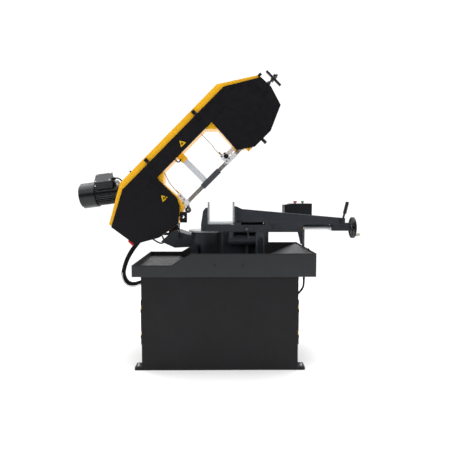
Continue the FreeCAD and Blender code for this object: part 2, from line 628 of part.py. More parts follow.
def saw_blade():
    """An endless band: flat on both wheels, and stood on edge for the cut between the two guides."""
    radius = size("blade_r")
    thick = size("blade_thick")
    wide = size("blade_wide")
    level = size("wheel_w")
    left = size("drive_u")
    right = size("idler_u")
    low = level - radius - thick / 2
    pieces = []
    for middle, start in ((left, 90), (right, 270)):
        outer = Part.makeCylinder(radius + thick, wide, V(middle, -wide / 2, level), V(0, 1, 0), 360)
        inner = Part.makeCylinder(radius, wide, V(middle, -wide / 2, level), V(0, 1, 0), 360)
        ring = outer.cut(inner)
        keep_from = middle - 2 * radius if start == 90 else middle
        half = Part.makeBox(2 * radius, 2 * wide, 4 * radius, V(keep_from, -wide, level - 2 * radius))
        pieces.append(ring.common(half))
    pieces.append(Part.makeBox(right - left, wide, thick, V(left, -wide / 2, level + radius)))
    run = size("twist_run")
    twist_in = (size("twist_in"), size("twist_in") + run)
    twist_out = (size("twist_out"), size("twist_out") + run)
    pieces.append(Part.makeBox(twist_in[0] - left, wide, thick, V(left, -wide / 2, low - thick / 2)))
    pieces.append(Part.makeBox(right - twist_out[1], wide, thick,
                               V(twist_out[1], -wide / 2, low - thick / 2)))
    pieces.append(Part.makeBox(twist_out[0] - twist_in[1], thick, wide,
                               V(twist_in[1], -thick / 2, low - wide / 2)))
    steps = 6
    for first, last, tilt_from, tilt_to in ((*twist_in, 0.0, 90.0), (*twist_out, 90.0, 0.0)):
        for number in range(steps):
            near = number / steps
            far = (number + 1) / steps
            sections = [ribbon_section(first + (last - first) * part_way, low,
                                       math.radians(tilt_from + (tilt_to - tilt_from) * part_way))
                        for part_way in (near, far)]
            pieces.append(Part.makeLoft(sections, True, True))
    whole = pieces[0].multiFuse(pieces[1:])
    thing = doc.addObject("Part::Feature", "saw_blade")
    thing.Label = "saw_blade"
    thing.Shape = whole.Solids[0] if len(whole.Solids) == 1 else whole
    place(thing, BOW)
    print("saw_blade solids:", len(whole.Solids))


def cover():
    """The front cover swings up on a hinge line along the back of the bow."""
    shell = Piece("blade_cover", BOW)
    shell.add("XZ", "cover_front", "frame_front - 1", COVER_OUTLINE)
    shell.cut("XZ", "cover_front + 2", "frame_front", inset(COVER_OUTLINE, 2.5))

    leaves = Piece("cover_fittings", BOW)
    bases = Piece("cover_hinge_bases", BOW)
    for u in (size("near_leaf"), size("far_leaf")):
        leaves.add("XZ", "cover_front - 6", "cover_front",
                   box(u - 13, 352, u + 13, 386.5), box(u - 13, 386, u - 1, 390))
        leaves.add("YZ", u - 13, u - 1, (-81, 391, 4))
        bases.add("XZ", -75, "frame_front", box(u - 12, 397, u + 12, 426))
        bases.add("YZ", u + 1, u + 13, (-81, 391, 4))
        bases.add("YZ", u + 1, u + 12, [(-83, 391), (-79, 391), (-70, 399), (-75, 402)])

    leaves.add("XY", -72, -51, (864, -69, 11))
    leaves.add("XZ", "cover_front - 7", "cover_front", hexagon(962, 345, 7), hexagon(-101, 350, 7))


def drive():
    """Worm gearbox and motor, drawn level about the worm's middle and then tilted."""
    gear_z = "-gear_drop"
    housing = Piece("gearbox_housing", MOTOR)
    housing.add("XZ", "frame_back", 150, (0, gear_z, 152))
    housing.add("YZ", -176, 70, ("motor_y", 0, 42))
    housing.cut("XZ", "frame_back + 10", 151, (0, gear_z, 145))
    housing.cut("YZ", -166, 60, ("motor_y", 0, 32))
    housing.cut("YZ", -177, -165, ("motor_y", 0, "rotor_r + fit"))
    housing.cut("XZ", "frame_back - 1", "frame_back + 11", (0, gear_z, "shaft_r + fit"))

    lid = Piece("gearbox_lid", MOTOR)
    lid.add("XZ", 150, 158, (0, gear_z, 152))
    lid.cut("XZ", 149, 159, box(-160, -44, 160, 0))
    lid.add("XZ", 158, 164, *[hexagon(x, z, 8) for x, z in ring_of(7, 138, 0, size(gear_z), -1.25)
                              if z < -60])

    gear = Piece("worm_wheel", MOTOR)
    gear.add("XZ", 100, 130, toothed(56, 133.5, size("gear_r"), 0, size(gear_z)))
    gear.add("XZ", 88, 142, (0, gear_z, 48))
    gear.cut("XZ", 87, 143, (0, gear_z, "shaft_r"))

    worm = Piece("worm_shaft", MOTOR)
    worm.add("YZ", -433, 56, ("motor_y", 0, "rotor_r"))
    worm.add("YZ", -48, 48, ("motor_y", 0, "worm_r"))
    worm.add("YZ", -322, -215, ("motor_y", 0, 54))

    fan = Piece("cooling_fan", MOTOR)
    fan.add("YZ", -425, -397, toothed(7, 26, 72, size("motor_y"), 0))
    fan.cut("YZ", -426, -396, ("motor_y", 0, "rotor_r"))

    motor = Piece("motor_housing", MOTOR)
    motor.add("YZ", -190, -176, ("motor_y", 0, 84))
    motor.add("YZ", -339, -190, toothed(32, 75, 84, size("motor_y"), 0))
    motor.cut("YZ", -329, -200, ("motor_y", 0, 62))
    motor.cut("YZ", -340, -175, ("motor_y", 0, "rotor_r + fit"))
    motor.add("YZ", -306, -203, leaning_box(70, 86, 40))

    shroud = Piece("motor_fan_cover", MOTOR)
    shroud.add("YZ", -443, -339, ("motor_y", 0, 92))
    shroud.add("YZ", -455, -443, ("motor_y", 0, 80))
    shroud.cut("YZ", -440, -338, ("motor_y", 0, 88))
    vents = [(size("motor_y") + y, z, 6) for y, z in ring_of(8, 34) + ring_of(14, 60)]
    shroud.cut("YZ", -456, -435, *vents)
    shroud.add("YZ", -344, -339, ("motor_y", 0, 89), ("motor_y", 0, "rotor_r + 4"))

    terminal = Piece("terminal_box", MOTOR)
    terminal.add("YZ", -313, -196, leaning_box(86, 132, 47))
    terminal.add("YZ", -315, -194, leaning_box(132, 142, 49))
    terminal.add("YZ", -196, -178, (*leaning_point(108, 18), 10), (*leaning_point(108, -16), 10))


def leaning_point(out, side):
    """A place on the motor, in Y and Z, given out from its axis and sideways, leaned over to the front."""
    lean = math.radians(40)
    return (size("motor_y") - out * math.sin(lean) + side * math.cos(lean),
            out * math.cos(lean) + side * math.sin(lean))


def leaning_box(low, high, half):
    """The section of a box on the motor between two distances from its axis."""
    return [leaning_point(out, side) for out, side in box(low, -half, high, half)]


def console():
    post = Piece("control_post")
    post.add("XY", 640, "box_low", box(617, 128, 634, 145))
    post.cut("XY", 639, 984, box(620, 131, 631, 142))
    post.add("YZ", "tray_right", 617, box(105, 650, 165, 750))
    post.add("XZ", 130, 143, [(578, 880), (617, 880), (617, 768), (606, 768)])

    cabinet = Piece("control_box")
    outline = [("box_left", "box_low"), ("box_right", "box_low"), ("box_right", "box_top"), (525, "box_top"),
               (500, "box_top - 8"), ("box_left", "box_top - 9")]
    cabinet.add("XZ", "box_front", "box_back", outline)
    cabinet.cut("XZ", "box_front + sheet", "box_back - sheet",
                box("box_left + sheet", "box_low + sheet", "box_right - sheet", "box_top - 14"))
    cabinet.cut("XY", "box_top - 15", "box_top + 1", ("estop_x", "button_y", "6 + fit"),
                ("start_x", "button_y", "6 + fit"))

    emergency = Piece("emergency_button")
    emergency.add("XY", "box_top - 20", "box_top + 8", ("estop_x", "button_y", 6))
    emergency.add("XY", "box_top + 7", "box_top + 15", ("estop_x", "button_y", 16))
    emergency.add("XY", "box_top + 15", "box_top + 18", ("estop_x", "button_y", 12))
    start = Piece("start_button")
    start.add("XY", "box_top - 20", "box_top + 7", ("start_x", "button_y", 6))
    start.add("XY", "box_top + 6", "box_top + 20", ("start_x", "button_y", 11))


def lines():
    """Hoses and cables that keep one route."""
    tube("coolant_lines", [(594, -20, 278), (594, -20, 178), (586, -18, 128), (586, -16, 76)], 3, BOW)
    tube("cable_conduit", [(-575, 112, 836), (-632, 110, 775), (-690, 98, 685), (-717, 82, 600),
                           (-722, 64, 542), (-689, 50, 487), (-637, 44, 472), (-566, 42, 497),
                           (-500, 40, 505)], 10)
    tube("side_cable", [(550, -250, 726), (558, -250, 560), (545, -250, 505), (503, -250, 470)], 7)


standing_base()
doors()
turntable()
vise()
bow_castings()
tension_gear()
wheels()
saw_blade()
cover()
drive()
console()
lines()
doc.recompute()

os.makedirs("parts", exist_ok=True)
for name in os.listdir("parts"):
    os.remove(os.path.join("parts", name))
made = 0
for thing in doc.Objects:
    if {"Invalid", "Error"} & set(thing.State):
        raise RuntimeError(f"{thing.Label} did not recompute: {thing.State}")
    is_body = thing.TypeId == "PartDesign::Body"
    is_shape = thing.TypeId == "Part::Feature"
    if not (is_body or is_shape):
        continue
    if thing.Shape.isNull() or not thing.Shape.isValid():
        raise RuntimeError(f"{thing.Label} has no valid shape")
    thing.Shape.exportStep(f"parts/{thing.Label}.step")
    made += 1
print("sub-parts written:", made)
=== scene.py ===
"""Looks of the metal-cutting band saw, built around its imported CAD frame. Metres, the same frame."""

import json
import math
import random

import bmesh
import bpy
from mathutils import Matrix, Vector


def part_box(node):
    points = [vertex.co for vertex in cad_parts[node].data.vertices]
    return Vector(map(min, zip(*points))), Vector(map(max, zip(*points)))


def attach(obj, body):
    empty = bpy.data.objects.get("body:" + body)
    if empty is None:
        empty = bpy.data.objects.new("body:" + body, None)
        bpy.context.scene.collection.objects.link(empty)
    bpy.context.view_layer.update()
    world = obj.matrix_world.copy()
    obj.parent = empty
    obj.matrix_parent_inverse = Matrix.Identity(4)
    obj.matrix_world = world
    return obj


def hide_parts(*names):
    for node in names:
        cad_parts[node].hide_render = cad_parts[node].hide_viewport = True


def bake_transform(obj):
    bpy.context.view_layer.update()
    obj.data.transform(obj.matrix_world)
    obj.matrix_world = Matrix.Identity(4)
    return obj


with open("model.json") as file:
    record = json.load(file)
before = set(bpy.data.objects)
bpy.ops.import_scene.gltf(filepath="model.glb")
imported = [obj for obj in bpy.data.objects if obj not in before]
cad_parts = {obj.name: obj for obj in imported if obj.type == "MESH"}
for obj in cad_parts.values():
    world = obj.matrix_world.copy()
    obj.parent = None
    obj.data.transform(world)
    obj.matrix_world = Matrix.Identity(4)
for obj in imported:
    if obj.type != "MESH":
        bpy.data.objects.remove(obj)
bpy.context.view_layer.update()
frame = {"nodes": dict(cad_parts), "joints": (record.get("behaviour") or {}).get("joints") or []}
nodes = frame["nodes"]
random.seed(7)

# ---------------------------------------------------------------- places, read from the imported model
MM = 0.001
JOINTS = {joint["name"]: joint for joint in frame["joints"]}


def frame_at(joint, along):
    """A frame in the middle plane at a joint, tilted so that its X follows another joint's axis."""
    place = Vector(JOINTS[joint]["pos_m"])
    axis = Vector(JOINTS[along]["axis"])
    tilt = math.atan2(axis.z, axis.x)
    return Matrix.Translation((place.x, 0, place.z)) @ Matrix.Rotation(-tilt, 4, "Y")


BOW = frame_at("bow_pivot", "blade_tension")
MOTOR = frame_at("motor_spin", "motor_spin")


def corners_of(node, place=None):
    """A node's mesh corners in a frame, in millimetres."""
    back = place.inverted() if place else Matrix.Identity(4)
    return [(back @ vertex.co) / MM for vertex in nodes[node].data.vertices]


def span(node, place=None):
    """The lowest and highest corner of a node in a frame, in millimetres."""
    if place is None:
        low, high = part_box(node)
        return low / MM, high / MM
    spots = corners_of(node, place)
    return (Vector([min(spot[k] for spot in spots) for k in range(3)]),
            Vector([max(spot[k] for spot in spots) for k in range(3)]))


def middle_of(joint, place):
    """Where a joint sits in a frame, in millimetres."""
    return (place.inverted() @ Vector(JOINTS[joint]["pos_m"])) / MM


def front_corners(node):
    """The corners on a bow part's front face, as (along, up) in the bow's frame."""
    spots = corners_of(node, BOW)
    face = min(spot.y for spot in spots)
    return [Vector((spot.x, spot.z)) for spot in spots if spot.y < face + 0.1]


DRIVE = middle_of("drive_wheel_spin", BOW)
IDLER = middle_of("idler_wheel_spin", BOW)
BRUSH = middle_of("brush_spin", BOW)
MOTOR_Y = middle_of("motor_spin", MOTOR).y
COVER_FACE = span("blade_cover", BOW)[0].y
BEAM_UNDER = span("approach_bracket", BOW)[1].z


def on_bow(u, y, w):
    """A point given along the blade, across the bow and towards its back, in millimetres."""
    return BOW @ (Vector((u, y, w)) * MM)


# ---------------------------------------------------------------- materials
# Sockets of Blender's mix node: its factor, its two numbers, its two colours, and the two results.
FACTOR = 0
NUMBER_A = 2
NUMBER_B = 3
COLOUR_A = 6
COLOUR_B = 7
MIXED_NUMBER = 0
MIXED_COLOUR = 2


class Shader:
    """One node material, started from a principled shader."""

    def __init__(self, name):
        self.material = bpy.data.materials.new(name)
        self.material.use_nodes = True
        self.tree = self.material.node_tree
        self.main = self.tree.nodes["Principled BSDF"]
        self.place = self.node("ShaderNodeTexCoord").outputs["Object"]

    def node(self, kind, **settings):
        made = self.tree.nodes.new(kind)
        for word, value in settings.items():
            setattr(made, word, value)
        return made

    def put(self, socket, value):
        if isinstance(value, bpy.types.NodeSocket):
            self.tree.links.new(value, socket)
        else:
            socket.default_value = value

    def noise(self, scale, detail=3.0, rough=0.55, stretch=None):
        spot = self.place
        if stretch:
            shift = self.node("ShaderNodeMapping")
            self.put(shift.inputs["Vector"], spot)
            shift.inputs["Scale"].default_value = stretch
            spot = shift.outputs["Vector"]
        made = self.node("ShaderNodeTexNoise")
        self.put(made.inputs["Vector"], spot)
        made.inputs["Scale"].default_value = scale
        made.inputs["Detail"].default_value = detail
        made.inputs["Roughness"].default_value = rough
        return made.outputs["Fac"]

    def cells(self, scale, smooth=True):
        made = self.node("ShaderNodeTexVoronoi", feature="SMOOTH_F1" if smooth else "F1")
        self.put(made.inputs["Vector"], self.place)
        made.inputs["Scale"].default_value = scale
        return made.outputs["Distance"]

    def spread(self, value, low, high, start=0.3, end=0.7):
        made = self.node("ShaderNodeMapRange")
        self.put(made.inputs["Value"], value)
        made.inputs["From Min"].default_value = start
        made.inputs["From Max"].default_value = end
        made.inputs["To Min"].default_value = low
        made.inputs["To Max"].default_value = high
        return made.outputs["Result"]

    def blend(self, factor, first, second):
        made = self.node("ShaderNodeMix", data_type="RGBA")
        self.put(made.inputs[FACTOR], factor)
        self.put(made.inputs[COLOUR_A], first)
        self.put(made.inputs[COLOUR_B], second)
        return made.outputs[MIXED_COLOUR]

    def worn_edges(self, radius):
        """1 near an edge, 0 on a flat: the bevelled normal's turn away from the true one."""
        bevel = self.node("ShaderNodeBevel", samples=4)
        bevel.inputs["Radius"].default_value = radius
        shape = self.node("ShaderNodeNewGeometry")
        turn = self.node("ShaderNodeVectorMath", operation="DOT_PRODUCT")
        self.put(turn.inputs[0], bevel.outputs["Normal"])
        self.put(turn.inputs[1], shape.outputs["Normal"])
        return self.spread(turn.outputs["Value"], 1.0, 0.0, 0.80, 0.99)

    def bump(self, height, strength, distance):
        made = self.node("ShaderNodeBump")
        self.put(made.inputs["Height"], height)
        made.inputs["Strength"].default_value = strength
        made.inputs["Distance"].default_value = distance
        self.put(self.main.inputs["Normal"], made.outputs["Normal"])
        return made


def tone(colour, factor):
    """A colour made lighter or darker, with full alpha."""
    return tuple(min(1.0, part * factor) for part in colour[:3]) + (1.0,)


def linear(*shades):
    """Shades as the eye reads them, 0 to 1, turned into the shader's linear light."""
    return tuple(((s + 0.055) / 1.055) ** 2.4 if s > 0.04045 else s / 12.92 for s in shades) + (1.0,)


def paint(name, colour, rough=0.45, grain=900.0, depth=0.25, mottle=0.06, edge=0.25, coat=0.0, shine=0.3,
          dusty=0.12):
    """Sprayed paint or powder coat: fine orange peel, slow mottling, dust and lighter worn edges."""
    s = Shader(name)
    cloudy = s.spread(s.noise(5.0, 4.0), 0.0, 1.0)
    body = s.blend(cloudy, tone(colour, 1 - mottle), tone(colour, 1 + mottle))
    dust = s.spread(s.noise(60.0, 6.0, 0.7), 0.0, dusty, 0.55, 0.8)
    body = s.blend(dust, body, tone(colour, 1.9))
    wear = s.worn_edges(0.0016)
    body = s.blend(s.spread(wear, 0.0, edge, 0.0, 1.0), body, tone(colour, 2.3))
    s.put(s.main.inputs["Base Color"], body)
    s.put(s.main.inputs["Roughness"], s.spread(s.noise(28.0, 5.0), rough - 0.07, rough + 0.09))
    s.main.inputs["Specular IOR Level"].default_value = shine
    s.main.inputs["Coat Weight"].default_value = coat
    s.main.inputs["Coat Roughness"].default_value = 0.12
    s.bump(s.noise(grain, 2.0), depth, 0.0006)
    return s.material


def hammered(name, colour, rough=0.42, cell=170.0, depth=0.55):
    """Thick casting paint with a pebbled skin, lighter on its high spots."""
    s = Shader(name)
    pebbles = s.cells(cell)
    cloudy = s.spread(s.noise(9.0, 5.0), 0.0, 1.0)
    body = s.blend(cloudy, tone(colour, 0.82), tone(colour, 1.2))
    body = s.blend(s.spread(pebbles, 0.35, 0.0, 0.1, 0.5), body, tone(colour, 1.9))
    wear = s.worn_edges(0.0025)
    body = s.blend(s.spread(wear, 0.0, 0.4, 0.0, 1.0), body, tone(colour, 2.6))
    s.put(s.main.inputs["Base Color"], body)
    s.put(s.main.inputs["Roughness"], s.spread(s.noise(40.0, 4.0), rough - 0.08, rough + 0.1))
    s.main.inputs["Specular IOR Level"].default_value = 0.4
    s.bump(pebbles, depth, 0.0012)
    return s.material


def metal(name, colour, rough=0.3, stretch=(1, 1, 1), scale=220.0, depth=0.2, stain=0.12, bare=1.0):
    """Bare metal with tool marks drawn out along one way, and faint stains."""
    s = Shader(name)
    marks = s.noise(scale, 4.0, 0.6, stretch)
    stains = s.spread(s.noise(14.0, 5.0), 0.0, 1.0)
    body = s.blend(stains, tone(colour, 1 - stain), tone(colour, 1 + stain))
    body = s.blend(s.spread(marks, 0.0, 0.25), body, tone(colour, 0.7))
    s.put(s.main.inputs["Base Color"], body)
    s.main.inputs["Metallic"].default_value = bare
    s.put(s.main.inputs["Roughness"], s.spread(marks, rough - 0.08, rough + 0.14))
    s.bump(marks, depth, 0.0004)
    return s.material


def plastic(name, colour, rough=0.4, depth=0.15, grain=1400.0):
    """Moulded plastic: a fine grained skin with finger-polished high spots."""
    s = Shader(name)
    handled = s.spread(s.noise(22.0, 4.0), 0.0, 1.0)
    s.put(s.main.inputs["Base Color"], s.blend(handled, tone(colour, 0.86), tone(colour, 1.18)))
    s.put(s.main.inputs["Roughness"], s.spread(s.noise(45.0, 4.0), rough - 0.1, rough + 0.1))
    s.bump(s.noise(grain, 2.0), depth, 0.0004)
    return s.material


def rubber(name, colour):
    """Hose rubber, dusty and matt."""
    s = Shader(name)
    dusty = s.spread(s.noise(35.0, 6.0, 0.7), 0.0, 0.3, 0.45, 0.8)
    s.put(s.main.inputs["Base Color"], s.blend(dusty, tone(colour, 1.0), tone(colour, 1.8)))
    s.main.inputs["Specular IOR Level"].default_value = 0.25
    s.put(s.main.inputs["Roughness"], s.spread(s.noise(60.0, 4.0), 0.5, 0.75))
    s.bump(s.noise(500.0, 3.0), 0.3, 0.0006)
    return s.material


def split_finish(name, way, level, below, above, rough=0.42):
    """Two colours on one part, changing at a level along a way, both with fine drawn-out marks: two finishes,
    or one finish and painted shade.
    """
    s = Shader(name)
    height = s.node("ShaderNodeVectorMath", operation="DOT_PRODUCT")
    s.put(height.inputs[0], s.place)
    s.put(height.inputs[1], tuple(way))
    over = s.spread(height.outputs["Value"], 0.0, 1.0, level - 0.0004, level + 0.0004)
    marks = s.noise(160.0, 4.0, 0.6, (8, 1, 1))
    low = s.blend(s.spread(marks, 0.0, 0.4), below, tone(below, 0.72))
    high = s.blend(s.spread(marks, 0.0, 0.4), above, tone(above, 0.72))
    s.put(s.main.inputs["Base Color"], s.blend(over, low, high))
    s.put(s.main.inputs["Roughness"], s.spread(s.noise(45.0, 4.0), rough - 0.1, rough + 0.1))
    s.bump(marks, 0.15, 0.0004)
    return s.material


UP_THE_BOW = (BOW.to_3x3() @ Vector((0, 0, 1))).normalized()
SHOE_TOP = on_bow(0, 0, span("approach_bar", BOW)[0].z + 40).dot(UP_THE_BOW)
JAW_LINE = span("moving_jaw_plate")[0].x * MM
SHOE_GREY = linear(0.27, 0.28, 0.30)
BRUSHED = linear(0.82, 0.83, 0.85)
WORN_BRIGHT = linear(0.66, 0.67, 0.68)
# Past the moving jaw's face the wear plate is painted dark grey: painted shade under the vise slide.
PAINTED_SHADE_UNDER_SLIDE = linear(0.16, 0.165, 0.18)

M = {
    "anthracite": paint("anthracite_coat", linear(0.125, 0.122, 0.130), rough=0.5, grain=1100.0, depth=0.3,
                        shine=0.15),
    "tray": paint("tray_coat", linear(0.165, 0.17, 0.18), rough=0.45, grain=1000.0, depth=0.3, shine=0.3),
    "console": paint("console_coat", linear(0.14, 0.145, 0.155), rough=0.5, grain=1300.0, depth=0.5,
                     shine=0.2),
    "casting": hammered("casting_paint", linear(0.135, 0.15, 0.175)),
    "casting_light": hammered("casting_paint_light", linear(0.21, 0.225, 0.25)),
    "gloss_black": paint("motor_gloss", linear(0.05, 0.06, 0.08), rough=0.3, grain=500.0, depth=0.15,
                         mottle=0.1, edge=0.08, coat=0.12, shine=0.3, dusty=0.02),
    "terminal": paint("terminal_grey", linear(0.06, 0.08, 0.105), rough=0.4, grain=700.0, depth=0.2,
                      mottle=0.08, edge=0.12, coat=0.05, shine=0.2, dusty=0.02),
    "cover": paint("cover_coat", linear(0.075, 0.070, 0.085), rough=0.42, grain=1400.0, depth=0.22,
                   mottle=0.06, edge=0.2, coat=0.0, shine=0.18),
    "black": paint("black_coat", linear(0.06, 0.06, 0.07), rough=0.45, grain=1200.0, depth=0.3, shine=0.2),
    "yellow": paint("yellow_gloss", linear(0.99, 0.74, 0.13), rough=0.36, grain=1500.0, depth=0.04,
                    mottle=0.02, edge=0.0, coat=0.25, shine=0.3, dusty=0.0),
    "steel": metal("ground_steel", linear(0.94, 0.95, 0.96), rough=0.36, stretch=(1, 1, 14), scale=180.0,
                   depth=0.12, stain=0.05, bare=0.1),
    "jaw": metal("jaw_steel", linear(0.62, 0.63, 0.64), rough=0.34, stretch=(1, 14, 1), scale=160.0,
                 depth=0.12, stain=0.04, bare=0.3),
    "bar": split_finish("bar_and_shoe", UP_THE_BOW, SHOE_TOP, SHOE_GREY, BRUSHED),
    # The wear plate: worn bright steel up to the moving jaw's face, painted shade past it under the slide.
    "wear": split_finish("wear_plate", (1, 0, 0), JAW_LINE, WORN_BRIGHT, PAINTED_SHADE_UNDER_SLIDE),
    "turned": metal("turned_steel", (0.50, 0.51, 0.53), rough=0.28, stretch=(14, 1, 1), scale=240.0,
                    depth=0.15, stain=0.12, bare=0.7),
    "blade": metal("blade_steel", (0.42, 0.39, 0.37), rough=0.32, stretch=(1, 1, 8), scale=300.0, depth=0.1,
                   stain=0.12, bare=0.6),
    "iron": metal("wheel_iron", (0.42, 0.43, 0.44), rough=0.45, stretch=(1, 1, 1), scale=90.0, depth=0.3),
    "bronze": metal("gear_bronze", (0.72, 0.50, 0.24), rough=0.35),
    "brass": metal("tap_brass", (0.72, 0.52, 0.24), rough=0.28),
    "tube": metal("coolant_tube", linear(0.78, 0.77, 0.74), rough=0.35, stretch=(1, 1, 1), scale=220.0,
                  depth=0.2, stain=0.12, bare=0.2),
    "plastic": plastic("black_plastic", linear(0.055, 0.055, 0.065), rough=0.42),
    "grey_plastic": plastic("grey_plastic", linear(0.30, 0.31, 0.32), rough=0.45),
    "pale": plastic("pale_plastic", linear(0.72, 0.71, 0.66), rough=0.4),
    "red": plastic("red_plastic", linear(0.78, 0.07, 0.07), rough=0.28),
    "green": plastic("green_plastic", linear(0.60, 0.66, 0.58), rough=0.3),
    "rubber": rubber("hose_rubber", linear(0.05, 0.05, 0.06)),
    "warning": paint("warning_yellow", linear(0.85, 0.68, 0.08), rough=0.4, grain=600.0, depth=0.08,
                     mottle=0.04, edge=0.1),
    "sealer": paint("seam_sealer", linear(0.22, 0.19, 0.16), rough=0.6),
    "silver_hose": metal("silver_hose", (0.62, 0.63, 0.64), rough=0.38),
    "bristle": rubber("bristle_grey", linear(0.26, 0.26, 0.27)),
}

FINISH = {
    "anthracite": ["cabinet", "base_rails", "left_door", "right_door"],
    "tray": ["chip_tray"],
    "console": ["control_box"],
    "casting": ["swivel_casting", "vise_bed", "fixed_jaw", "gearbox_housing", "gearbox_lid", "king_post",
                "coolant_tank", "coolant_pump", "vise_slide", "control_post"],
    "casting_light": ["bed_support"],
    "gloss_black": ["motor_fan_cover", "motor_housing"],
    "terminal": ["terminal_box"],
    "cover": ["blade_cover"],
    "black": ["stop_bracket", "cover_fittings", "cover_hinge_bases", "handwheel", "stop_rod"],
    "yellow": ["bow_frame", "approach_bracket"],
    "steel": ["drive_side_guide", "idler_side_guide"],
    "bar": ["approach_bar"],
    "wear": ["bed_wear_plate"],
    "jaw": ["fixed_jaw_plate", "moving_jaw_plate", "turntable_disc"],
    "turned": ["vise_screw", "pivot_shaft", "drive_shaft", "worm_shaft", "tension_carriage",
               "levelling_bolts"],
    "blade": ["saw_blade"],
    "iron": ["drive_wheel", "idler_wheel"],
    "bronze": ["worm_wheel", "vise_nut"],
    "brass": ["door_hinges"],
    "tube": ["coolant_lines"],
    "plastic": ["tension_handle", "clamp_lever", "left_latch", "right_latch", "swivel_lock_lever",
                "cooling_fan"],
    "pale": ["crank_grip"],
    "red": ["emergency_button"],
    "green": ["start_button"],
    "bristle": ["chip_brush"],
}
# Widths of the rounded edges on CAD nodes, in millimetres.
SOFT_EDGES = {"motor_fan_cover": 9.0, "cabinet": 2.0, "chip_tray": 1.0, "swivel_casting": 5.0,
              "vise_bed": 4.0, "fixed_jaw": 3.0, "vise_slide": 5.0, "bed_support": 5.0,
              "gearbox_housing": 4.0, "blade_cover": 1.0, "control_box": 2.0, "terminal_box": 4.0,
              "drive_side_guide": 1.5, "idler_side_guide": 1.5}
# An edge that turns more than this is rounded on those nodes and kept sharp on the added pieces.
SHARP = math.radians(35)


def finish_cad_nodes():
    """Give every CAD node its material, and the bigger ones rounded edges."""
    for look, names in FINISH.items():
        for name in names:
            for holder in nodes[name].material_slots:
                holder.material = M[look]
    for name, width in SOFT_EDGES.items():
        rounding = nodes[name].modifiers.new("rounded", "BEVEL")
        rounding.width = width * MM
        rounding.segments = 2
        rounding.limit_method = "ANGLE"
        rounding.angle_limit = SHARP
        rounding.harden_normals = False


# ---------------------------------------------------------------- mesh helpers
def piece(name, mesh, look, body, place=None, smooth=True):
    """A finished mesh as a piece of a body, placed in its frame."""
    data = bpy.data.meshes.new(name)
    mesh.to_mesh(data)
    mesh.free()
    thing = bpy.data.objects.new(name, data)
    bpy.context.collection.objects.link(thing)
    if place is not None:
        data.transform(place)
    data.materials.append(M[look])
    if smooth:
        for face in data.polygons:
            face.use_smooth = True
        data.set_sharp_from_angle(angle=SHARP)
    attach(thing, body)
    return thing


def skin(mesh, rings):
    """Close a row of corner rings with faces around them and one at each end; gives the faces."""
    faces = [mesh.faces.new(rings[0]), mesh.faces.new(rings[-1])]
    sides = len(rings[0])
    for one, two in zip(rings, rings[1:]):
        for number in range(sides):
            following = (number + 1) % sides
            faces.append(mesh.faces.new((one[number], one[following], two[following], two[number])))
    bmesh.ops.recalc_face_normals(mesh, faces=faces)
    return faces


def add_prism(mesh, outline, start, end, axis="y", bevel=0.0):
    """A closed outline, in millimetres, drawn out along the Y or the Z axis."""
    if axis == "y":
        rings = [[(a, level, b) for a, b in outline] for level in (start, end)]
    else:
        rings = [[(a, b, level) for a, b in outline] for level in (start, end)]
    faces = skin(mesh, [[mesh.verts.new(Vector(corner) * MM) for corner in ring] for ring in rings])
    if bevel:
        edges = {edge for face in faces for edge in face.edges}
        bmesh.ops.bevel(mesh, geom=list(edges), offset=bevel * MM, segments=2, affect="EDGES", profile=0.6)


def add_lathe(mesh, profile, centre, axis, sides=28):
    """A profile of (along, radius) pairs in millimetres turned about an axis through a centre."""
    way = Vector(axis).normalized()
    side = way.orthogonal().normalized()
    other = way.cross(side)
    rings = []
    for along, radius in profile:
        ring = []
        for number in range(sides):
            angle = 2 * math.pi * number / sides
            offset = side * math.cos(angle) + other * math.sin(angle)
            ring.append(mesh.verts.new((Vector(centre) + way * along + offset * radius) * MM))
        rings.append(ring)
    skin(mesh, rings)


def add_screw(mesh, centre, axis, radius, height):
    """A cap screw: a low chamfered head with a hexagon socket sunk in it."""
    add_lathe(mesh, [(0, radius), (height * 0.75, radius), (height, radius * 0.86), (height, radius * 0.5),
                     (height * 0.35, radius * 0.46)], centre, axis, 18)


def add_hex(mesh, centre, axis, radius, height):
    """A hexagon bolt head with a washer under it and a domed top."""
    add_lathe(mesh, [(0, radius * 1.35), (height * 0.2, radius * 1.3)], centre, axis, 24)
    base = Vector(centre) + Vector(axis).normalized() * height * 0.2
    add_lathe(mesh, [(0, radius), (height * 0.65, radius), (height * 0.8, radius * 0.86)], base, axis, 6)


def add_tube(mesh, line, radius, sides=12):
    """A round tube along a line of points in metres; the radius is in millimetres or follows a rule."""
    rings = []
    side = (line[1] - line[0]).orthogonal().normalized()
    length = 0.0
    for number, point in enumerate(line):
        before = line[max(number - 1, 0)]
        after = line[min(number + 1, len(line) - 1)]
        length += (point - before).length
        way = (after - before).normalized()
        side = (side - way * side.dot(way)).normalized()
        other = way.cross(side)
        here = (radius(length) if callable(radius) else radius) * MM
        rings.append([mesh.verts.new(point + (side * math.cos(a) + other * math.sin(a)) * here)
                      for a in (2 * math.pi * k / sides for k in range(sides))])
    skin(mesh, rings)


def box_outline(left, low, right, high):
    return [(left, low), (right, low), (right, high), (left, high)]


def rounded_outline(points, radius, steps=4):
    """An outline with its corners rounded."""
    made = []
    for before, here, after in zip(points[-1:] + points[:-1], points, points[1:] + points[:1]):
        a, b, c = Vector(before), Vector(here), Vector(after)
        start = b + (a - b).normalized() * radius
        end = b + (c - b).normalized() * radius
        for number in range(steps + 1):
            t = number / steps
            made.append(tuple(start * (1 - t) ** 2 + b * 2 * t * (1 - t) + end * t ** 2))
    return made


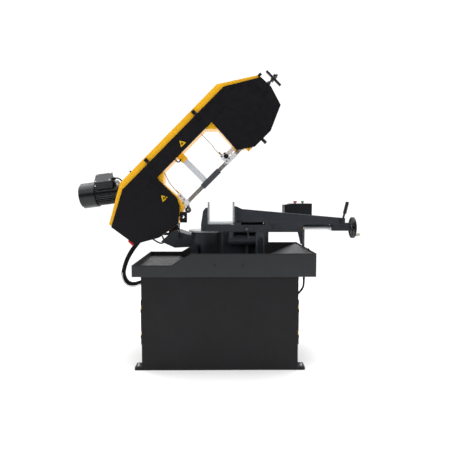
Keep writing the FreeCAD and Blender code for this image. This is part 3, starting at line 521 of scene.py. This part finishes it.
# ---------------------------------------------------------------- blade, guides and bow details
def blade_teeth():
    """Saw teeth along the cutting run, each raked towards the drive wheel, set left, middle and right."""
    mesh = bmesh.new()
    pitch = 6.35
    half_thick = 0.45
    tooth_set = 0.25
    ahead = 4
    past = 13
    edge = span("saw_blade", BOW)[0].z
    start = span("drive_side_guide", BOW)[0].x - ahead
    end = span("idler_side_guide", BOW)[1].x + past
    profile = ((0.0, 0.6), (0.4, -3.0), (1.6, -2.6), (4.6, 0.2), (5.6, 0.6))
    for number in range(int((end - start) / pitch)):
        root = start + number * pitch
        lean = (number % 3 - 1) * tooth_set
        tooth = [(root + along, edge + up) for along, up in profile]
        add_prism(mesh, tooth, lean - half_thick, lean + half_thick)
    piece("blade_teeth", mesh, "blade", "bow", BOW, smooth=False)


def guide_details():
    """Clamp screws, bearing rollers, hose taps and the knob on the blade guides, and the brush's hub."""
    near_high = span("drive_side_guide", BOW)[1]
    far_low, far_high = span("idler_side_guide", BOW)
    face = -near_high.y
    head_radius = 4.5
    head_height = 5
    screws = bmesh.new()
    for back, down in ((15, 60), (15, 24), (34, 70)):
        spot = (near_high.x - back, face, near_high.z - down)
        add_screw(screws, spot, (0, -1, 0), head_radius, head_height)
    for along, down in ((12, 56), (38, 56), (12, 8), (38, 8), (74, 31)):
        spot = (far_low.x + along, face, far_high.z - down)
        add_screw(screws, spot, (0, -1, 0), head_radius, head_height)
    piece("guide_screws", screws, "plastic", "bow", BOW)

    rollers = bmesh.new()
    spool = [(-9, 3), (-9, 5.6), (-8, 6), (8, 6), (9, 5.6), (9, 3)]
    roller_radius = 6
    off_blade = 6.5
    roller_height = 15
    for u in (near_high.x + roller_radius, far_low.x - roller_radius):
        for y in (-off_blade, off_blade):
            add_lathe(rollers, spool, (u, y, roller_height), (0, 0, 1), 22)
    piece("guide_rollers", rollers, "turned", "bow", BOW)

    taps = bmesh.new()
    body = [(0, 7), (6, 7), (7, 5), (16, 5), (17, 6.5), (26, 6.5), (28, 4)]
    lever = [(0, 3), (12, 3), (13, 5), (16, 5)]
    lever_height = 12
    for foot in ((far_low.x + 18, -17, far_high.z), (near_high.x - 8, -14, near_high.z)):
        add_lathe(taps, body, foot, (0, 0, 1), 16)
        add_lathe(taps, lever, Vector(foot) + Vector((0, 0, lever_height)), (0, -1, 0), 14)
    piece("coolant_taps", taps, "brass", "bow", BOW)

    knob = bmesh.new()
    hub = (far_low.x + 32, far_low.y, far_high.z - 32)
    add_lathe(knob, [(0, 15), (3, 17), (12, 17), (15, 14), (16, 6)], hub, (0, -1, 0), 30)
    piece("guide_knob", knob, "plastic", "bow", BOW)

    rim = bmesh.new()
    dish = [(-15, 9), (-15.5, 13), (-14.5, 15), (-13.5, 15)]
    add_lathe(rim, dish, (BRUSH.x, 0, BRUSH.z), (0, 1, 0), 30)
    piece("brush_hub", rim, "grey_plastic", "brush", BOW)


def bristles():
    """Short wire tufts around the chip brush."""
    mesh = bmesh.new()
    tufts = 150
    half_width = 13
    root = 19
    shortest = 22.5
    longest = 24
    tuft_radius = 0.35
    for _ in range(tufts):
        angle = random.uniform(0, 2 * math.pi)
        out = Vector((math.cos(angle), 0, math.sin(angle)))
        centre = Vector((BRUSH.x, random.uniform(-half_width, half_width), BRUSH.z))
        tip = centre + out * random.uniform(shortest, longest)
        add_tube(mesh, [(centre + out * root) * MM, tip * MM], tuft_radius, 4)
    piece("brush_bristles", mesh, "bristle", "brush", BOW)


def triangle(u, w, radius):
    """An even-sided triangle about a middle, standing upright on the bow."""
    angles = [math.radians(90 + 120 * number) for number in range(3)]
    return [(u + radius * math.cos(angle), w + radius * math.sin(angle)) for angle in angles]


def warning_triangle(name, u, w):
    """A plain yellow triangle with a dark field and nothing drawn on it, on the blade cover."""
    for part, radius, look, slot, depth in (("edge", 28, "warning", "yellow_paint", 0.4),
                                            ("field", 12, "black", "cover_paint", 0.7)):
        mesh = bmesh.new()
        outline = rounded_outline(triangle(u, w, radius), radius / 7)
        add_prism(mesh, outline, COVER_FACE - depth, COVER_FACE)
        piece(f"{name}_{part}", mesh, look, "cover", BOW, smooth=False)


def cover_details():
    """Pressed folds, plain stickers and the round latch on the blade cover."""
    corners = front_corners("blade_cover")
    throat = sorted((c for c in corners if abs(c.y - BEAM_UNDER) < 1), key=lambda c: c.x)
    centre = (DRIVE.x + IDLER.x) / 2
    left_foot = min((c for c in corners if c.x < centre), key=lambda c: c.y)
    right_foot = min((c for c in corners if c.x > centre), key=lambda c: c.y)
    left_inner, right_inner = throat[0], throat[-1]
    ridge = Vector((IDLER.x - 96, BEAM_UNDER + 10))
    reach = 0.92
    half_width = 2.2
    sunk = 0.2
    proud = 1.2
    folds = bmesh.new()
    for start, end in ((left_inner, Vector((DRIVE.x + 45, BEAM_UNDER + 14))),
                       (left_inner, left_inner.lerp(left_foot, reach)),
                       (right_inner, ridge), (ridge, ridge.lerp(right_foot, reach))):
        across = (end - start).orthogonal().normalized() * half_width
        bead = [tuple(start + across), tuple(end + across), tuple(end - across), tuple(start - across)]
        add_prism(folds, bead, COVER_FACE - proud, COVER_FACE + sunk)
    piece("cover_folds", folds, "cover", "cover", BOW, smooth=False)

    wheel_radius = (span("drive_wheel", BOW)[1].z - span("drive_wheel", BOW)[0].z) / 2
    beam_back = span("blade_cover", BOW)[1].z
    warning_triangle("warning_upper", centre + 22, BEAM_UNDER + (beam_back - BEAM_UNDER) * 0.36)
    warning_triangle("warning_lower", DRIVE.x + wheel_radius + 8, DRIVE.z - wheel_radius / 4)

    stem = corners_of("cover_fittings", BOW)
    lowest = min(spot.z for spot in stem)
    end = [spot for spot in stem if spot.z < lowest + 0.1]
    middle = sum(end, Vector()) / len(end)
    latch = bmesh.new()
    knob = [(0, 9), (3, 12), (15, 12), (18, 9), (18.5, 3)]
    add_lathe(latch, knob, middle + Vector((0, 0, 2)), (0, 0, -1), 26)
    piece("cover_latch_knob", latch, "plastic", "cover", BOW)


def bow_details():
    """The clip on the frame's far corner, the red plug by its near corner and the bolt on its back."""
    low, high = span("bow_frame", BOW)
    corners = front_corners("bow_frame")
    tip = max(corners, key=lambda c: c.x)
    heel = min(corners, key=lambda c: c.x + c.y)
    clip = bmesh.new()
    clip_thick = 8
    outline = box_outline(tip.x - 11, tip.y - 13, tip.x + 15, tip.y + 6)
    add_prism(clip, outline, low.y - clip_thick, low.y, bevel=1.5)
    add_hex(clip, (tip.x + 1, low.y - clip_thick, tip.y - 3), (0, -1, 0), 5, 6)
    piece("frame_clip", clip, "black", "bow", BOW)

    plug = bmesh.new()
    body = [(0, 6), (3, 9.5), (10, 10.5), (40, 10.5), (46, 9), (50, 5)]
    stalk = [(0, 5), (26, 5)]
    plug_x = heel.x - 27
    add_lathe(plug, body, (plug_x, 0, heel.y + 57), (0, 0, -1), 20)
    add_lathe(plug, stalk, (plug_x, 0, heel.y + 30), (1, 0, 0), 14)
    piece("red_plug", plug, "red", "bow", BOW)

    bolt = bmesh.new()
    add_hex(bolt, (DRIVE.x + 145, low.y + 10, high.z), (0, 0, 1), 6, 12)
    piece("beam_bolt", bolt, "plastic", "bow", BOW)


LEAN = math.radians(40)
LID_WAY = Vector((0, -math.sin(LEAN), math.cos(LEAN)))
LID_SIDE = Vector((0, math.cos(LEAN), math.sin(LEAN)))


def leaning(x, out, side):
    """A place on the motor given along it, out from its axis and sideways, leaned over to the front."""
    return Vector((x, MOTOR_Y, 0)) + LID_WAY * out + LID_SIDE * side


def motor_details():
    """A blank nameplate, the terminal lid's screws and the flange bolts."""
    shroud_high = span("motor_fan_cover", MOTOR)[1]
    fin_radius = shroud_high.z - 8
    start = shroud_high.x + 5
    plate_length = 16
    half_width = 18
    plate_thick = 1.2
    plate = bmesh.new()
    low = [plate.verts.new(leaning(x, fin_radius, side) * MM)
           for x, side in box_outline(start, -half_width, start + plate_length, half_width)]
    high = [plate.verts.new(vertex.co + LID_WAY * plate_thick * MM) for vertex in low]
    skin(plate, [low, high])
    piece("motor_nameplate", plate, "pale", "bow", MOTOR, smooth=False)

    lid_low, lid_high = span("terminal_box", MOTOR)
    lid_out = max((spot - Vector((0, MOTOR_Y, 0))).dot(LID_WAY) for spot in corners_of("terminal_box", MOTOR))
    gland = 16
    from_end = 11
    from_middle = 39
    screws = bmesh.new()
    for x in (lid_low.x + from_end, lid_high.x - gland - from_end):
        for side in (-from_middle, from_middle):
            add_screw(screws, leaning(x, lid_out, side), LID_WAY, 4.5, 3.5)
    flange = span("gearbox_housing", MOTOR)[0].x
    circle_radius = 70
    for number in range(4):
        turn = math.pi / 4 + number * math.pi / 2
        centre = (flange, MOTOR_Y + circle_radius * math.cos(turn), circle_radius * math.sin(turn))
        add_hex(screws, centre, (1, 0, 0), 7, 7)
    piece("motor_screws", screws, "turned", "bow", MOTOR)


# ---------------------------------------------------------------- vise, base and console details
def screw_threads():
    """Trapezoidal thread along the bare part of the vise screw, between its nut and its collar."""
    axis = Vector(JOINTS["handwheel_turn"]["pos_m"]) / MM
    start = span("vise_nut")[1].x + 3
    collar = min(spot.x for spot in corners_of("vise_screw")
                 if math.hypot(spot.y - axis.y, spot.z - axis.z) > 15)
    pitch = 5.0
    sides = 20
    mesh = bmesh.new()
    rows = []
    for number in range(int((collar - 2 - start) / pitch) * sides + 1):
        angle = 2 * math.pi * number / sides
        x = start + pitch * number / sides
        row = []
        for along, radius in ((-1.6, 12.0), (-0.8, 13.4), (0.8, 13.4), (1.6, 12.0)):
            spot = Vector((x + along, axis.y + radius * math.cos(angle), axis.z + radius * math.sin(angle)))
            row.append(mesh.verts.new(spot * MM))
        rows.append(row)
    for one, two in zip(rows, rows[1:]):
        for number in range(3):
            mesh.faces.new((one[number], one[number + 1], two[number + 1], two[number]))
    mesh.faces.new(rows[0])
    mesh.faces.new(rows[-1])
    bmesh.ops.recalc_face_normals(mesh, faces=mesh.faces[:])
    piece("screw_thread", mesh, "turned", "crank")


def jaw_screws():
    """Six sunk screws in the face of each jaw plate."""
    low, high = span("fixed_jaw_plate")
    from_edge = 25
    from_foot = 35
    for name, x, way, body in (("fixed_jaw_screws", high.x, 1, "base"),
                               ("moving_jaw_screws", span("moving_jaw_plate")[0].x, -1, "slide")):
        mesh = bmesh.new()
        for y in (low.y + from_edge, (low.y + high.y) / 2, high.y - from_edge):
            for z in (low.z + from_foot, high.z - from_edge):
                add_screw(mesh, (x, y, z), (way, 0, 0), 6, 0.8)
        piece(name, mesh, "turned", body)


def vise_details():
    """Bed and bracket bolts, the index mark and the head of the swivel lock lever."""
    bed_low = span("vise_bed")[0]
    bed_top = span("fixed_jaw_plate")[0].z
    wear_end = span("bed_wear_plate")[1].x
    support_low, support_high = span("bed_support")
    support_face = support_low.y + 55
    tray_low, tray_high = span("chip_tray")
    bolts = bmesh.new()
    for x in (bed_low.x + 22, wear_end + 56):
        add_hex(bolts, (x, bed_low.y, bed_top - 23), (0, -1, 0), 7, 6)
    for x in (support_high.x - 82, support_high.x - 37):
        for up in (12, 24):
            add_hex(bolts, (x, support_face - 1, support_low.z + up), (0, -1, 0), 3.5, 4)
    for share in (0.45, 0.6):
        x = tray_low.x + (tray_high.x - tray_low.x) * share
        add_screw(bolts, (x, tray_low.y, tray_low.z + 74), (0, -1, 0), 6, 4)
    add_hex(bolts, (tray_high.x - 6, -120, tray_high.z), (0, 0, 1), 8, 8)
    piece("bed_bolts", bolts, "plastic", "base")

    lever_low, lever_high = span("swivel_lock_lever")
    inset = 9
    centre = (lever_low.x + inset, (lever_low.y + lever_high.y) / 2, lever_high.z - inset)
    disc = [(-8.7, 6), (-8.6, 9.3), (8.6, 9.3), (8.7, 6)]
    head = bmesh.new()
    add_lathe(head, disc, centre, (0, 1, 0), 22)
    piece("lock_lever_head", head, "grey_plastic", "lock_lever")

    mark = bmesh.new()
    gap_end = span("moving_jaw_plate")[0].x
    outline = box_outline(gap_end - 17, bed_top - 4, gap_end + 5, bed_top + 0.5)
    add_prism(mark, outline, bed_low.y - 1, bed_low.y)
    piece("bed_index_mark", mark, "jaw", "base", smooth=False)


def base_details():
    """Beads around the tray's rim and the cabinet's seam under it."""
    low, high = span("chip_tray")
    side = [spot for spot in corners_of("chip_tray") if spot.y < low.y + 0.1]
    left_rim = max(spot.z for spot in side if spot.x < low.x + 0.1)
    steps = {(round(spot.x, 1), round(spot.z, 1)) for spot in side if spot.z > left_rim - 0.1}
    path = sorted(steps)
    rim = bmesh.new()
    inset = 1.5
    bead_radius = 2.6
    for y in (low.y + inset, high.y - inset):
        add_tube(rim, [Vector((x, y, z)) * MM for x, z in path], bead_radius, 10)
    for x, z in ((low.x + inset, left_rim), (high.x - inset, high.z)):
        add_tube(rim, [Vector((x, y, z)) * MM for y in (low.y, high.y)], bead_radius, 10)
    piece("tray_rim", rim, "black", "base")

    cabinet_low, cabinet_high = span("cabinet")
    step = 12
    wander = 0.8
    wave_step = 2.3
    seam_radius = 1.6
    count = int((cabinet_high.x - cabinet_low.x) / step) + 1
    line = []
    for number in range(count):
        up = wander * math.sin(number * wave_step)
        line.append(Vector((cabinet_low.x + step * number, cabinet_low.y - 0.5, cabinet_high.z - 1 + up)))
    seam = bmesh.new()
    add_tube(seam, [spot * MM for spot in line], seam_radius, 8)
    piece("cabinet_seam", seam, "sealer", "base")


def console_details():
    """A blank legend plate and the box's front screws, and the light cover strip on its post."""
    low, high = span("control_box")
    stop_low, stop_high = span("emergency_button")
    start_low, start_high = span("start_button")
    stop_x = (stop_low.x + stop_high.x) / 2
    start_x = (start_low.x + start_high.x) / 2
    plate = bmesh.new()
    outline = rounded_outline(box_outline(stop_x - 28, low.y + 9, start_x + 36, low.y + 37), 4)
    add_prism(plate, outline, high.z, high.z + 1, axis="z")
    piece("legend_plate", plate, "grey_plastic", "base", smooth=False)

    screws = bmesh.new()
    for x in (low.x + 8, high.x - 8):
        for z in (low.z + 9, high.z - 17):
            add_screw(screws, (x, low.y, z), (0, -1, 0), 4, 3)
    piece("console_screws", screws, "plastic", "base")

    post_low, post_high = span("control_post")
    post_face = post_low.y + 23
    strip = bmesh.new()
    outline = rounded_outline(box_outline(post_high.x - 16, post_face - 1.5, post_high.x - 1, post_face), 0.6)
    add_prism(strip, outline, post_high.z - 215, post_high.z - 1, axis="z")
    piece("post_strip", strip, "grey_plastic", "base")


# ---------------------------------------------------------------- cords
# The routes of the CAD cables, in metres, and of the hoses that run beside the conduit.
CONDUIT_ROUTE = [(-0.575, 0.112, 0.836), (-0.632, 0.110, 0.775), (-0.690, 0.098, 0.685),
                 (-0.717, 0.082, 0.600), (-0.722, 0.064, 0.542), (-0.689, 0.050, 0.487),
                 (-0.637, 0.044, 0.472), (-0.566, 0.042, 0.497), (-0.500, 0.040, 0.505)]
SIDE_ROUTE = [(0.550, -0.250, 0.726), (0.558, -0.250, 0.560), (0.545, -0.250, 0.505), (0.503, -0.250, 0.470)]
SECOND_ROUTE = [(-0.564, 0.110, 0.826), (-0.618, 0.106, 0.766), (-0.675, 0.094, 0.680),
                (-0.702, 0.078, 0.603), (-0.706, 0.060, 0.553), (-0.679, 0.048, 0.503),
                (-0.632, 0.042, 0.488), (-0.566, 0.040, 0.512), (-0.500, 0.038, 0.520)]
SILVER_ROUTE = [(-0.570, 0.130, 0.828), (-0.626, 0.128, 0.770), (-0.684, 0.112, 0.685),
                (-0.714, 0.088, 0.600), (-0.722, 0.052, 0.538), (-0.690, 0.030, 0.481),
                (-0.637, 0.024, 0.466), (-0.566, 0.024, 0.491), (-0.500, 0.026, 0.499)]
# Leads and a coolant line that ride on the bow, in millimetres: the motor's lead in the motor's
# frame, the others in the bow's.
SENSOR_ROUTE = [(-182, 20, 12), (-174, 14, -38), (-150, 4, -72), (-122, -2, -60), (-112, -4, -20)]
SWITCH_ROUTE = [(342, -34, 284), (334, -40, 262), (350, -48, 244), (370, -46, 252)]
LEFT_COOLANT_ROUTE = [(226, -20, 284), (200, -20, 222), (190, -19, 165), (188, -17, 128)]
MOTOR_ROUTE = [(-182, 45, 95), (-160, 44, 97), (-138, 56, 80), (-130, 70, 55)]


def spline(name, route):
    """A curve of one open smooth spline with the route's points as its control points."""
    curve = bpy.data.curves.new(name, "CURVE")
    curve.dimensions = "3D"
    curve.resolution_u = 24
    line = curve.splines.new("NURBS")
    line.points.add(len(route) - 1)
    for point, place in zip(line.points, route):
        point.co = (*place, 1)
    line.order_u = 3
    line.use_endpoint_u = True
    thing = bpy.data.objects.new(name, curve)
    bpy.context.collection.objects.link(thing)
    return thing


def line_of(route):
    """Points along the route's smooth spline."""
    holder = spline("route", route)
    bpy.context.view_layer.update()
    sampled = bpy.data.meshes.new_from_object(holder)
    points = [vertex.co.copy() for vertex in sampled.vertices]
    bpy.data.objects.remove(holder)
    bpy.data.meshes.remove(sampled)
    return points


def line_length(line):
    return sum((b - a).length for a, b in zip(line, line[1:]))


def even_line(line, spacing):
    """The same line with points at even distances."""
    count = max(2, round(line_length(line) / spacing))
    step = line_length(line) / count
    even = [line[0]]
    walked = 0.0
    for a, b in zip(line, line[1:]):
        run = (b - a).length
        while len(even) < count and walked + run >= step * len(even) - 1e-9:
            even.append(a.lerp(b, (step * len(even) - walked) / run))
        walked += run
    even.append(line[-1])
    return even


SMOOTH_STEP = 0.004    # the distance between rings on a hose without ribs, in metres
GROOVE = 0.91          # the share of the radius left between two ribs


def hose(name, route, radius, look, body=None, ribs=0.0, blend=None, node=None):
    """A hose or cable as a mesh tube on the route's spline, ribbed when asked."""
    line = even_line(line_of(route), ribs / 2 if ribs else SMOOTH_STEP)

    def ribbed(length):
        return radius if int(length / (ribs * 0.5)) % 2 else radius * GROOVE

    mesh = bmesh.new()
    add_tube(mesh, line, ribbed if ribs else radius, 16)
    data = bpy.data.meshes.new(name)
    mesh.to_mesh(data)
    mesh.free()
    data.materials.append(M[look])
    for face in data.polygons:
        face.use_smooth = True
    thing = bpy.data.objects.new(name, data)
    bpy.context.collection.objects.link(thing)
    if blend:
        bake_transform(thing)
    else:
        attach(thing, body)
    if node:
        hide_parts(node)


def cords():
    """The conduit and its two companions, the cable on the right, and the leads and line on the bow."""
    hose("left_conduit", CONDUIT_ROUTE, 10, "rubber", ribs=0.005, blend=("base", "swivel"),
         node="cable_conduit")
    hose("right_cable", SIDE_ROUTE, 7, "rubber", body="base", node="side_cable")
    hose("left_second_hose", SECOND_ROUTE, 8.5, "rubber", ribs=0.004,
         blend=("base", "swivel"))
    hose("left_silver_hose", SILVER_ROUTE, 6, "silver_hose", ribs=0.003,
         blend=("base", "swivel"))
    for name, stops, place, radius, look, slot in (
            ("sensor_lead", SENSOR_ROUTE, BOW, 5.5, "rubber", "black_rubber"),
            ("switch_lead", SWITCH_ROUTE, BOW, 4.5, "rubber", "black_rubber"),
            ("left_coolant_line", LEFT_COOLANT_ROUTE, BOW, 3.6, "tube", "copper_line"),
            ("motor_lead", MOTOR_ROUTE, MOTOR, 5, "rubber", "black_rubber")):
        route = [tuple(place @ (Vector(stop) * MM)) for stop in stops]
        hose(name, route, radius, look, body="bow")


# ---------------------------------------------------------------- studio
# The sky's strength on the viewer's side and behind the machine, where along Y the one fades into
# the other, and the strength a camera ray sees, which is the one behind the machine everywhere.
FRONT_LIGHT = 0.06
BACK_LIGHT = 1.1
FADE_START = -0.5
FADE_END = 0.25
# The floor's left, front, right and back edges and its thickness, in millimetres.
FLOOR = (-9000, -6000, 9000, 2600)
FLOOR_THICK = 30
# The camera's place and the way it looks, in metres, and its lens and film width in millimetres.
EYE = (0.0136, -2.861, 1.1067)
GAZE = (0.0075, 1.0, -0.065)
LENS = 32
FILM = 36


def studio():
    """A white floor and sky, soft lamps above and in front, and the camera."""
    white = Shader("studio_white")
    white.put(white.main.inputs["Base Color"], white.blend(white.spread(white.noise(3.0), 0.0, 1.0),
                                                           (0.93, 0.93, 0.93, 1), (0.95, 0.95, 0.95, 1)))
    white.main.inputs["Roughness"].default_value = 0.9
    data = bpy.data.meshes.new("studio_floor")
    mesh = bmesh.new()
    add_prism(mesh, box_outline(*FLOOR), -FLOOR_THICK, 0, axis="z")
    mesh.to_mesh(data)
    mesh.free()
    floor = bpy.data.objects.new("studio_floor", data)
    data.materials.append(white.material)
    bpy.context.collection.objects.link(floor)

    world = bpy.data.worlds.new("studio_world")
    world.use_nodes = True
    tree = world.node_tree
    spot = tree.nodes.new("ShaderNodeTexCoord")
    split = tree.nodes.new("ShaderNodeSeparateXYZ")
    fade = tree.nodes.new("ShaderNodeMapRange")
    fade.inputs["From Min"].default_value = FADE_START
    fade.inputs["From Max"].default_value = FADE_END
    fade.inputs["To Min"].default_value = FRONT_LIGHT
    fade.inputs["To Max"].default_value = BACK_LIGHT
    tree.links.new(spot.outputs["Generated"], split.inputs[0])
    tree.links.new(split.outputs["Y"], fade.inputs["Value"])
    rays = tree.nodes.new("ShaderNodeLightPath")
    seen = tree.nodes.new("ShaderNodeMix")
    tree.links.new(rays.outputs["Is Camera Ray"], seen.inputs[FACTOR])
    tree.links.new(fade.outputs["Result"], seen.inputs[NUMBER_A])
    seen.inputs[NUMBER_B].default_value = BACK_LIGHT
    tree.links.new(seen.outputs[MIXED_NUMBER], tree.nodes["Background"].inputs["Strength"])
    tree.nodes["Background"].inputs["Color"].default_value = (1, 1, 1, 1)
    bpy.context.scene.world = world

    def lamp(name, place, aim, size, power):
        light = bpy.data.lights.new(name, "AREA")
        light.shape = "RECTANGLE"
        light.size, light.size_y = size
        light.energy = power
        holder = bpy.data.objects.new(name, light)
        holder.location = place
        holder.rotation_euler = (Vector(aim) - Vector(place)).to_track_quat("-Z", "Y").to_euler()
        bpy.context.collection.objects.link(holder)

    lamp("key_softbox", (-2.4, -3.4, 3.4), (0, 0, 0.9), (2.0, 2.0), 28)
    lamp("fill_softbox", (2.8, -3.2, 2.2), (0, 0, 0.9), (2.0, 2.0), 12)
    lamp("top_softbox", (0, 0.3, 4.8), (0, 0.1, 0), (8.0, 6.0), 470)

    view = bpy.context.scene.view_settings
    view.view_transform = "Standard"
    view.look = "None"

    lens = bpy.data.cameras.new("camera")
    lens.lens = LENS
    lens.sensor_width = FILM
    camera = bpy.data.objects.new("camera", lens)
    camera.location = EYE
    camera.rotation_euler = Vector(GAZE).to_track_quat("-Z", "Y").to_euler()
    bpy.context.collection.objects.link(camera)
    bpy.context.scene.camera = camera


finish_cad_nodes()
blade_teeth()
guide_details()
bristles()
cover_details()
bow_details()
motor_details()
screw_threads()
jaw_screws()
vise_details()
base_details()
console_details()
cords()
studio()
